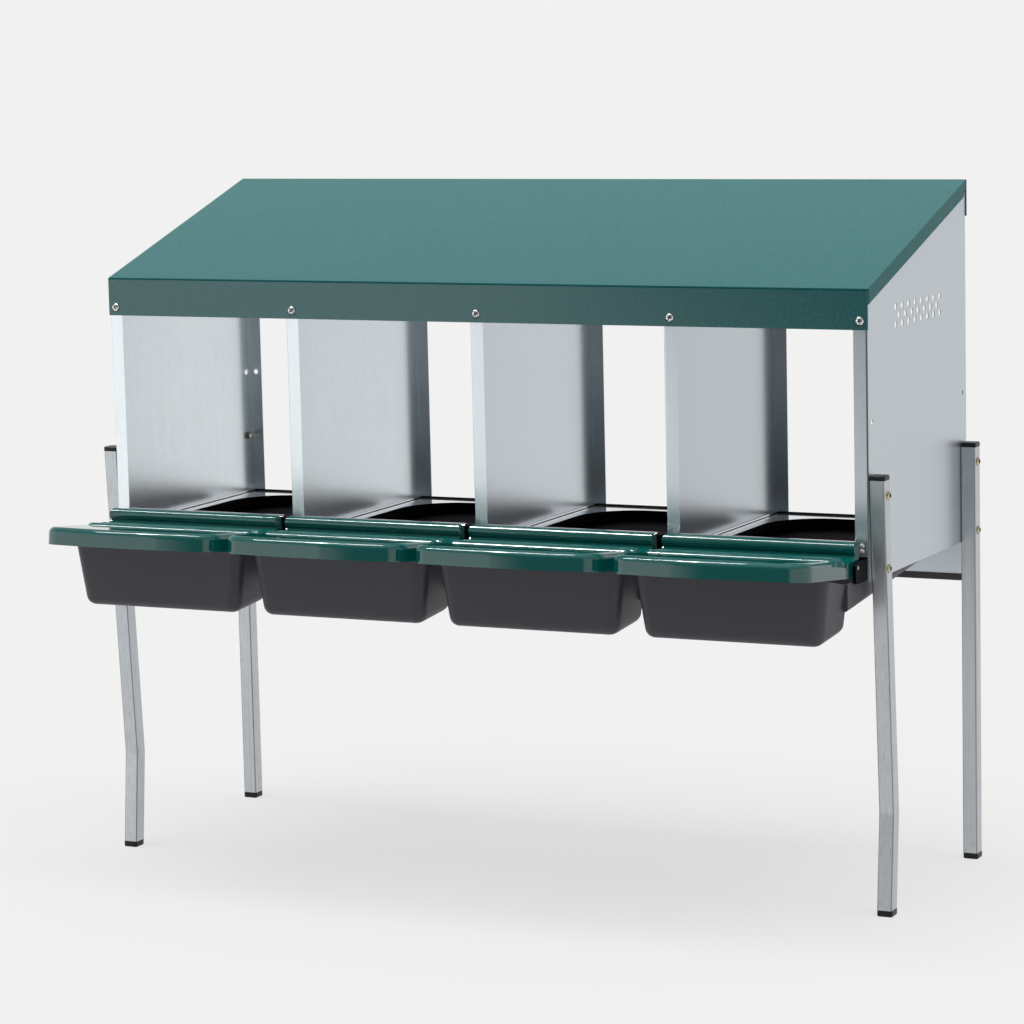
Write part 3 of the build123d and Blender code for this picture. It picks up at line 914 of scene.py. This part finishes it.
class Kit(Graph):
    """Geometry Nodes tree with named inputs that puts one small shape on each point of a mesh."""

    def __init__(self, name: str) -> None:
        """Starts the tree with its geometry sockets, its seed and its finish.

        Args:
            name: The tree's name.
        """
        super().__init__(bpy.data.node_groups.new(name, "GeometryNodeTree"))
        face = self.tree.interface
        face.new_socket("Geometry", in_out="OUTPUT", socket_type="NodeSocketGeometry")
        face.new_socket("Geometry", in_out="INPUT", socket_type="NodeSocketGeometry")
        face.new_socket("Seed", in_out="INPUT", socket_type="NodeSocketInt")
        face.new_socket("Finish", in_out="INPUT", socket_type="NodeSocketMaterial")
        self.entry = self.tree.nodes.new("NodeGroupInput")

    def size(self, name: str) -> Socket:
        """Adds a named length to the tree's inputs."""
        self.tree.interface.new_socket(name, in_out="INPUT", socket_type="NodeSocketFloat")
        return self.given(name)

    def given(self, name: str) -> Socket:
        """One of the tree's inputs by name."""
        return Socket(self, self.entry.outputs[name])

    def vector(self, x: Value, y: Value, z: Value) -> Socket:
        """Vector of three values or sockets."""
        return self.node("ShaderNodeCombineXYZ", None, {0: x, 1: y, 2: z})

    def moved(
        self,
        shape: Socket,
        z: Value,
        scale: Optional[Socket] = None,
        turn: Triple = (0.0, 0.0, 0.0),
    ) -> Socket:
        """Shape raised along its axis.

        Args:
            shape: The geometry.
            z: How far it is raised.
            scale: Vector of factors.
            turn: Turn in radians before it is raised.

        Returns:
            The moved geometry.
        """
        inputs = {"Geometry": shape, "Translation": self.vector(0.0, 0.0, z), "Rotation": turn}
        if scale:
            inputs["Scale"] = scale
        return self.node("GeometryNodeTransform", None, inputs)

    def rod(self, diameter: Socket, low: Value, length: Socket, sides: int = 24) -> Socket:
        """Closed rod along the axis.

        Args:
            diameter: Its diameter.
            low: Where it starts.
            length: Its length.
            sides: Flats around it.

        Returns:
            The geometry.
        """
        inputs = {"Vertices": sides, "Radius": diameter * 0.5, "Depth": length}
        rod = self.node("GeometryNodeMeshCylinder", None, inputs)
        return self.moved(rod, low + length * 0.5)

    def block(self, x: Value, y: Value, z: Value, middle: Value) -> Socket:
        """Box round a point of the axis, by its three sides and the height of its middle."""
        block = self.node("GeometryNodeMeshCube", None, {"Size": self.vector(x, y, z)})
        return self.moved(block, middle)

    def ball(self, radius: Socket, height: Socket, sides: int, rings: int) -> Socket:
        """Ball that is stretched along the axis.

        Args:
            radius: Its radius across the axis.
            height: Its radius along the axis.
            sides: Faces around it.
            rings: Faces from pole to pole.

        Returns:
            The geometry.
        """
        inputs = {"Segments": sides, "Rings": rings, "Radius": 1.0}
        ball = self.node("GeometryNodeMeshUVSphere", None, inputs)
        return self.moved(ball, 0.0, self.vector(radius, radius, height))

    def joined(self, *shapes: Socket) -> Socket:
        """Shapes as one geometry."""
        return self.node("GeometryNodeJoinGeometry", None, {"Geometry": list(shapes)})

    def cut(self, shape: Socket, *tools: Socket) -> Socket:
        """Shape with the tools taken out of it.

        Args:
            shape: The geometry.
            tools: What is taken out.

        Returns:
            The geometry.
        """
        settings = {"operation": "DIFFERENCE", "solver": "EXACT"}
        inputs = {"Mesh 1": shape, "Mesh 2": list(tools)}
        return self.node("GeometryNodeMeshBoolean", settings, inputs)

    def common(self, *shapes: Socket) -> Socket:
        """What the shapes have in common."""
        settings = {"operation": "INTERSECT", "solver": "EXACT"}
        return self.node("GeometryNodeMeshBoolean", settings, {"Mesh 2": list(shapes)})

    def marked(self, shape: Socket, radius: Socket, top: Socket) -> Socket:
        """Shape with its faces marked that lie near the axis and below a height.

        Args:
            shape: The geometry.
            radius: How far from the axis the faces may lie.
            top: The height.

        Returns:
            The geometry with the mark as an attribute.
        """
        place = self.node("GeometryNodeInputPosition")
        x, y, z = (self.node("ShaderNodeSeparateXYZ", None, {0: place}, axis) for axis in "XYZ")
        inside = (radius * radius > x * x + y * y) * (top > z)
        settings = {"data_type": "FLOAT", "domain": "FACE"}
        inputs = {"Geometry": shape, "Name": RECESS, "Value": inside}
        return self.node("GeometryNodeStoreNamedAttribute", settings, inputs)

    def crisp(self, shape: Socket) -> Socket:
        """Shape with smooth faces and crisp folds.

        Args:
            shape: The geometry.

        Returns:
            The shaded geometry.
        """
        inputs = {"Geometry": shape, "Shade Smooth": True}
        soft = self.node("GeometryNodeSetShadeSmooth", {"domain": "FACE"}, inputs)
        fold = self.node("GeometryNodeInputMeshEdgeAngle") > radians(CREASE)
        inputs = {"Geometry": soft, "Selection": fold, "Shade Smooth": False}
        return self.node("GeometryNodeSetShadeSmooth", {"domain": "EDGE"}, inputs)

    def facing(self) -> Socket:
        """Turn of each copy: onto the axis of its seat, and about it by chance.

        Returns:
            The rotation.
        """
        settings = {"data_type": "FLOAT_VECTOR"}
        axis = self.node("GeometryNodeInputNamedAttribute", settings, {"Name": AXIS})
        stand = self.node("FunctionNodeAlignRotationToVector", {"axis": "Z"}, {"Vector": axis})
        # The node has sockets for each kind of data: 2, 3 and output 1 are its floats, 8 the seed.
        inputs = {2: 0.0, 3: 2 * pi, 8: self.given("Seed")}
        spin = self.node("FunctionNodeRandomValue", {"data_type": "FLOAT"}, inputs, 1)
        inputs = {"Axis": (0.0, 0.0, 1.0), "Angle": spin}
        turn = self.node("FunctionNodeAxisAngleToRotation", None, inputs)
        inputs = {"Rotation": stand, "Rotate By": turn}
        return self.node("FunctionNodeRotateRotation", {"rotation_space": "LOCAL"}, inputs)

    def close(self, shape: Socket) -> None:
        """Puts the shape on the points and ends the tree.

        Args:
            shape: The geometry.
        """
        inputs = {
            "Points": self.given("Geometry"),
            "Instance": self.crisp(shape),
            "Rotation": self.facing(),
        }
        copies = self.node("GeometryNodeInstanceOnPoints", None, inputs)
        real = self.node("GeometryNodeRealizeInstances", None, {"Geometry": copies})
        inputs = {"Geometry": real, "Material": self.given("Finish")}
        dressed = self.node("GeometryNodeSetMaterial", None, inputs)
        self.node("NodeGroupOutput", None, {0: dressed})

    def make(
        self,
        name: str,
        seats: list[Seat],
        look: Look,
        sizes: dict[str, float],
        seed: int,
    ) -> bpy.types.Object:
        """Runs the tree on a set of seats and keeps the result as a plain mesh.

        Args:
            name: Name of the new piece.
            seats: Places and directions.
            look: The finish.
            sizes: Lengths in metres by input name.
            seed: Seed of the turns about the axis.

        Returns:
            The piece.
        """
        mesh = bpy.data.meshes.new(name)
        mesh.from_pydata([seat.place for seat in seats], [], [])
        axes = mesh.attributes.new(AXIS, "FLOAT_VECTOR", "POINT")
        for entry, seat in zip(axes.data, seats):
            entry.vector = seat.axis
        piece = bpy.data.objects.new(name, mesh)
        bpy.context.scene.collection.objects.link(piece)
        modifier = piece.modifiers.new("kit", "NODES")
        modifier.node_group = self.tree
        values = {"Seed": seed, "Finish": look.value.material(), **sizes}
        for item in self.tree.interface.items_tree:
            if item.in_out == "INPUT" and item.name in values:
                modifier[item.identifier] = values[item.name]
        shown = piece.evaluated_get(bpy.context.evaluated_depsgraph_get())
        solid = bpy.data.meshes.new_from_object(shown)
        piece.modifiers.remove(modifier)
        piece.data = solid
        solid.name = name
        return piece


@dataclass(frozen=True)
class Fastener:
    """Fasteners of one node of the frame, made again in full detail; millimetres."""

    ending: ClassVar[str] = "fasteners"
    node: str
    slot: str
    look: Look

    def sizes(self) -> dict[str, float]:
        """Sizes in millimetres by the names of the tree's inputs."""
        raise NotImplementedError

    def seats(self) -> list[Seat]:
        """Place and direction of every fastener in the frame."""
        raise NotImplementedError

    def shape(self, kit: Kit) -> Socket:
        """One fastener about its axis."""
        raise NotImplementedError

    def build(self, seed: int) -> None:
        """Makes the fasteners as one piece.

        Args:
            seed: Seed of the turns about the axis.
        """
        kit = Kit(f"{self.node}_kit")
        kit.close(self.shape(kit))
        seats = self.seats()
        sizes = {name: size * MM for name, size in self.sizes().items()}
        piece = kit.make(f"{self.node}_{self.ending}", seats, self.look, sizes, seed)
        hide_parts(self.node)
        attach(piece, "house")
        log.info("%s: %d, %d faces", piece.name, len(seats), len(piece.data.polygons))


class Recess(Enum):
    """Drive or mark in the middle of a head, by its number of sides; none for a cross."""

    CROSS = 0
    SOCKET = 6
    PIN = 14


@dataclass(frozen=True)
class Headed(Fastener):
    """Domed fastener with a flange, a shank and a recess in its head; millimetres and shares."""

    ending: ClassVar[str] = "heads"
    recess: Recess
    head: float
    height: float
    flange: float
    shank: float
    length: float
    point: float
    drive: float
    depth: float
    dome: float = 0.46
    dome_sides: int = 28
    dome_rings: int = 20
    cross_arm: float = 0.24
    tip: float = 0.14
    tip_sides: int = 20
    mark_radius: float = 0.45
    mark_depth: float = 0.25

    def sizes(self) -> dict[str, float]:
        """Sizes in millimetres by the names of the tree's inputs.

        Returns:
            The sizes.
        """
        return {
            "Head Diameter": self.head,
            "Head Height": self.height,
            "Flange Height": self.flange,
            "Shank Diameter": self.shank,
            "Shank Length": self.length,
            "Point Length": self.point,
            "Drive Size": self.drive,
            "Drive Depth": self.depth,
        }

    def reach(self, points: list[Vector], middle: Vector, side: int, end: float) -> float:
        """How far a fastener reaches from its axis near one end.

        Args:
            points: Its corner points.
            middle: Its middle.
            side: Number of the axis that it lies along.
            end: Where the end is on that axis.

        Returns:
            The distance in metres.
        """
        rim = [p - middle for p in points if abs(p[side] - end) < self.height * MM]
        return max((offset - upright(side, offset[side])).length for offset in rim)

    def seats(self) -> list[Seat]:
        """Underside of every head in the frame, and the way it faces.

        Returns:
            The seats.
        """
        found = []
        for points in solids(self.node):
            low, high = extent(points)
            side = max(range(3), key=lambda i: high[i] - low[i])
            middle = (low + high) / 2
            down, up = (self.reach(points, middle, side, end[side]) for end in (low, high))
            way = 1.0 if up > down else -1.0
            place = middle.copy()
            place[side] = (high[side] if way > 0 else low[side]) - way * self.height * MM
            found.append(Seat(place, upright(side, way)))
        return found

    def shape(self, kit: Kit) -> Socket:
        """One fastener about its axis, with the head above the seat.

        Args:
            kit: The tree.

        Returns:
            The geometry.
        """
        sizes = map(kit.size, self.sizes())
        head, height, flange, shank, length, point, drive, depth = sizes
        dome = kit.ball(head * self.dome, height, self.dome_sides, self.dome_rings)
        below = kit.block(head * 2, head * 2, head * 2, head * -1.0)
        if self.recess is Recess.CROSS:
            arm = drive * self.cross_arm
            tools = [
                kit.block(drive, arm, depth * 2, height),
                kit.block(arm, drive, depth * 2, height),
            ]
        else:
            tools = [kit.rod(drive, height - depth, depth * 2, self.recess.value)]
        top = kit.joined(kit.cut(dome, below, *tools), kit.rod(head, 0.0, flange))
        top = kit.marked(top, drive * self.mark_radius, height - depth * self.mark_depth)
        inputs = {
            "Vertices": self.tip_sides,
            "Radius Top": shank * self.tip,
            "Radius Bottom": shank * 0.5,
            "Depth": point,
        }
        cone = kit.node("GeometryNodeMeshCone", None, inputs)
        cone = kit.moved(cone, point - length, turn=(pi, 0.0, 0.0))
        return kit.joined(top, kit.rod(shank, point - length, length - point), cone)


@dataclass(frozen=True)
class HexNut(Fastener):
    """Chamfered six-sided nut; millimetres and shares."""

    ending: ClassVar[str] = "hex"
    width: float
    height: float
    bore: float
    flats: int = 6
    bore_sides: int = 28
    round_width: float = 0.62
    round_height: float = 0.86
    round_sides: int = 36
    round_rings: int = 24

    def sizes(self) -> dict[str, float]:
        """Sizes in millimetres by the names of the tree's inputs."""
        return {"Width": self.width, "Height": self.height, "Bore": self.bore}

    def seats(self) -> list[Seat]:
        """Middle of every nut in the frame, and the way its hole runs.

        Returns:
            The seats.
        """
        found = []
        for points in solids(self.node):
            low, high = extent(points)
            side = min(range(3), key=lambda i: high[i] - low[i])
            found.append(Seat((low + high) / 2, upright(side)))
        return found

    def shape(self, kit: Kit) -> Socket:
        """One nut about its hole.

        Args:
            kit: The tree.

        Returns:
            The geometry.
        """
        width, height, bore = map(kit.size, self.sizes())
        prism = kit.rod(width * HEXAGON, height * -0.5, height, self.flats)
        wide, high = width * self.round_width, height * self.round_height
        chamfer = kit.ball(wide, high, self.round_sides, self.round_rings)
        hole = kit.rod(bore, height * -1.0, height * 2, self.bore_sides)
        return kit.cut(kit.common(prism, chamfer), hole)


@dataclass
class Fasteners:
    """Screws of the roof and the rail, rivets of the egg bars, and bolts and nuts of the legs."""

    roof_screw: Headed = Headed(
        node="roof_screws",
        slot="zinc",
        look=Look.ZINC,
        recess=Recess.CROSS,
        head=12.0,
        height=2.8,
        flange=0.7,
        shank=4.0,
        length=10.0,
        point=3.0,
        drive=6.0,
        depth=1.9,
    )
    rail_screw: Headed = replace(roof_screw, node="rail_screws")
    rivet: Headed = Headed(
        node="insert_rivets",
        slot="zinc",
        look=Look.RIVET,
        recess=Recess.PIN,
        head=6.0,
        height=1.2,
        flange=0.3,
        shank=3.2,
        length=10.0,
        point=0.8,
        drive=1.2,
        depth=0.4,
    )
    bolt: Headed = Headed(
        node="leg_bolts",
        slot="yellow_zinc",
        look=Look.YELLOW,
        recess=Recess.SOCKET,
        head=11.0,
        height=3.5,
        flange=0.8,
        shank=6.0,
        length=27.0,
        point=1.0,
        drive=6.4,
        depth=2.6,
    )
    nut: HexNut = HexNut(
        node="leg_nuts",
        slot="yellow_zinc",
        look=Look.PALE,
        width=10.0,
        height=5.0,
        bore=6.1,
    )
    first_seed: int = 11

    def build(self) -> None:
        """Makes every kind."""
        kinds = (self.roof_screw, self.rail_screw, self.rivet, self.bolt, self.nut)
        for seed, kind in enumerate(kinds, self.first_seed):
            kind.build(seed)


@dataclass
class House:
    """Folded sheet house: roof, side panels, dividers and rear rail with its edging."""

    dividers: int = NESTS - 1

    def build(self) -> None:
        """Dresses the sheets."""
        dress(Look.ROOF, "roof")
        dress(Look.SHEET, "side_panel_left", "side_panel_right", "rear_rail")
        dress(Look.SHEET, *(f"divider_{i + 1}" for i in range(self.dividers)))
        dress(Look.EDGING, "rail_trim")


@dataclass
class Nest:
    """One bay's moulded insert, tub and lid with its hinge pins."""

    number: int

    def build(self) -> None:
        """Dresses the mouldings of the bay."""
        dress(Look.TUB, f"nest_tub_{self.number}")
        dress(Look.INSERT, f"nest_insert_{self.number}")
        dress(Look.LID, f"egg_lid_{self.number}")
        dress(Look.ZINC, f"hinge_pins_{self.number}")


@dataclass
class Legs:
    """Four square tubes with their caps and feet."""

    ends: tuple[str, ...] = ("front", "rear")
    sides: tuple[str, ...] = ("left", "right")

    def build(self) -> None:
        """Dresses the tubes and their plugs."""
        dress(Look.TUBE, *(f"leg_{end}_{side}" for end in self.ends for side in self.sides))
        dress(Look.TRIM, "leg_caps", "leg_feet")


class Unlit(Enum):
    """What a distant light leaves alone: mirrored images or matt surfaces."""

    GLOSS = "visible_glossy"
    MATT = "visible_diffuse"


class Sun(NamedTuple):
    """Distant round light: the way to it, its irradiance, and its apparent size in degrees."""

    name: str
    towards: Triple
    strength: float
    angle: float
    unlit: Unlit


class Panel(NamedTuple):
    """Rectangular light that shows in gloss and metal only; metres and watts."""

    name: str
    place: Triple
    aim: Triple
    width: float
    height: float
    power: float


@dataclass
class Studio:
    """Pale floor, soft lights and the camera; metres."""

    floor_size: float = 900.0
    floor_grey: float = 0.25
    floor_seen: float = 0.6
    floor_tint: Triple = (1.0, 1.0, 0.993)
    floor_glow: float = 1.048
    shadow_share: float = 0.36
    card_left: float = -1.25
    card_right: float = 2.9
    card_place: float = -2.6
    card_height: float = 2.2
    card_fade: Pair = (0.3, -0.4)
    card_slant: float = 1.2
    card_end: float = 1.7
    card_dim: float = 0.13
    backdrop: float = 0.878
    horizon: float = 0.12
    ceiling: tuple[Pair, ...] = ((0.45, 0.42), (0.75, 0.42), (1.0, 0.9))
    surround: tuple[Pair, ...] = (
        (0.0, 0.1),
        (0.25, 0.14),
        (0.5, 0.25),
        (0.75, 0.45),
        (1.0, 0.7),
    )
    suns: tuple[Sun, ...] = (
        Sun("overhead", (-0.05, -0.25, 1.0), 1.03, 40.0, Unlit.GLOSS),
        Sun("left_fill", (-1.0, -0.12, 2.1), 0.42, 16.0, Unlit.GLOSS),
        Sun("right_fill", (1.0, -0.12, 2.1), 0.42, 16.0, Unlit.GLOSS),
        Sun("key", (-0.43, -0.12, 0.9), 0.5, 5.0, Unlit.MATT),
    )
    panels: tuple[Panel, ...] = (
        Panel("strip", (-1.0, -0.5, 2.45), (-1.0, -0.5, 0.0), 2.0, 0.09, 36.0),
        Panel("left_panel", (-1.85, -1.45, 0.7), (0.0, -0.1, 0.6), 2.7, 1.3, 3.7),
    )
    camera_place: Triple = (2.1036, -4.2796, 1.1525)
    camera_turn: Triple = (81.965, 1.322, 25.82)
    lens: float = 129.24
    sensor: float = 36.0
    sight: float = 2000.0

    def build(self) -> None:
        """Makes the floor, the card, the world, the lights and the camera."""
        self.floor()
        self.card()
        self.world()
        for sun in self.suns:
            self.sun(sun)
        for panel in self.panels:
            self.panel(panel)
        self.camera()

    @staticmethod
    def seen(graph: Graph) -> Socket:
        """One for rays that show a surface: from the camera, mirrored or through glass.

        Args:
            graph: The tree of a material or the world.

        Returns:
            The mask.
        """
        kinds = ("Camera", "Glossy", "Transmission")
        rays = [graph.node("ShaderNodeLightPath", output=f"Is {kind} Ray") for kind in kinds]
        return rays[0] + rays[1] + rays[2]

    @staticmethod
    def plate(name: str, corners: list[Triple]) -> tuple[bpy.types.Object, Graph]:
        """Flat plate with a new material.

        Args:
            name: Name of the plate and of its material.
            corners: Its corners in order.

        Returns:
            The plate and the empty tree of its material.
        """
        mesh = bpy.data.meshes.new(name)
        mesh.from_pydata(corners, [], [tuple(range(len(corners)))])
        plate = bpy.data.objects.new(name, mesh)
        bpy.context.scene.collection.objects.link(plate)
        material = bpy.data.materials.new(name)
        material.use_nodes = True
        mesh.materials.append(material)
        return plate, Graph(material.node_tree)

    def floor(self) -> None:
        """Level floor of even brightness that keeps part of the object's shadow."""
        h = self.floor_size / 2
        ground, graph = self.plate("floor", [(-h, -h, 0), (h, -h, 0), (h, h, 0), (-h, h, 0)])
        seen = self.seen(graph)
        grey = graph.mix(seen, (self.floor_grey,) * 3, (self.floor_seen,) * 3)
        matt = graph.node("ShaderNodeBsdfDiffuse", None, {"Color": grey})
        inputs = {"Color": self.floor_tint, "Strength": self.floor_glow}
        glow = graph.node("ShaderNodeEmission", None, inputs)
        inputs = {0: seen * (1 - self.shadow_share), 1: matt, 2: glow}
        graph.output(graph.node("ShaderNodeMixShader", None, inputs))

    def card(self) -> None:
        """Standing card in front that shows in gloss and metal only and fades to the right."""
        left, right, y, top = self.card_left, self.card_right, self.card_place, self.card_height
        corners = [(left, y, 0), (right, y, 0), (right, y, top), (left, y, top)]
        card, graph = self.plate("front_card", corners)
        card.visible_camera = card.visible_diffuse = card.visible_shadow = False
        across = graph.along("X")
        level = graph.span(across + graph.along("Z") * self.card_slant, *self.card_fade)
        level = level + graph.span(across, self.card_end, right)
        pale = graph.mix(level, (self.card_dim,) * 3, (self.backdrop,) * 3)
        graph.output(graph.node("ShaderNodeEmission", None, {"Color": pale, "Strength": 1.0}))

    def world(self) -> None:
        """Soft surround, brightest overhead, that shows as the pale backdrop."""
        world = bpy.data.worlds.new("studio")
        world.use_nodes = True
        bpy.context.scene.world = world
        graph = Graph(world.node_tree)
        where = graph.node("ShaderNodeTexCoord", output="Generated")
        height = graph.node("ShaderNodeSeparateXYZ", None, {"Vector": where}, "Z")
        dome = graph.steps(height, *self.surround)
        pale = graph.steps(height, (self.horizon, self.backdrop), *self.ceiling)
        level = graph.mix(self.seen(graph), dome, pale)
        sky = graph.node("ShaderNodeBackground", None, {"Color": level, "Strength": 1.0})
        graph.node("ShaderNodeOutputWorld", None, {"Surface": sky})

    @staticmethod
    def lamp(data: bpy.types.Light, towards: Vector) -> bpy.types.Object:
        """Lamp that shines against a direction.

        Args:
            data: The light.
            towards: Direction from what is lit to the light.

        Returns:
            The lamp.
        """
        lamp = bpy.data.objects.new(data.name, data)
        lamp.rotation_euler = towards.to_track_quat("Z", "Y").to_euler()
        bpy.context.scene.collection.objects.link(lamp)
        return lamp

    def sun(self, sun: Sun) -> None:
        """Adds a distant round light.

        Args:
            sun: The light.
        """
        data = bpy.data.lights.new(sun.name, "SUN")
        data.energy = sun.strength
        data.angle = radians(sun.angle)
        setattr(self.lamp(data, Vector(sun.towards)), sun.unlit.value, False)

    def panel(self, panel: Panel) -> None:
        """Adds a rectangular light.

        Args:
            panel: The light.
        """
        data = bpy.data.lights.new(panel.name, "AREA")
        data.shape = "RECTANGLE"
        data.size = panel.width
        data.size_y = panel.height
        data.energy = panel.power
        lamp = self.lamp(data, Vector(panel.place) - Vector(panel.aim))
        lamp.location = panel.place
        lamp.visible_diffuse = False

    def camera(self) -> None:
        """Camera at the photograph's angle."""
        data = bpy.data.cameras.new("camera")
        data.lens = self.lens
        data.sensor_width = self.sensor
        data.clip_end = self.sight
        eye = bpy.data.objects.new("camera", data)
        eye.location = self.camera_place
        eye.rotation_euler = Euler([radians(a) for a in self.camera_turn])
        bpy.context.scene.collection.objects.link(eye)
        bpy.context.scene.camera = eye


def main() -> None:
    """Builds the nest box and its studio."""
    logging.basicConfig(level=logging.INFO)
    House().build()
    for number in range(1, NESTS + 1):
        Nest(number).build()
    Legs().build()
    Fasteners().build()
    bpy.context.scene.view_settings.view_transform = "Standard"
    Studio().build()


if __name__ == "__main__":
    main()
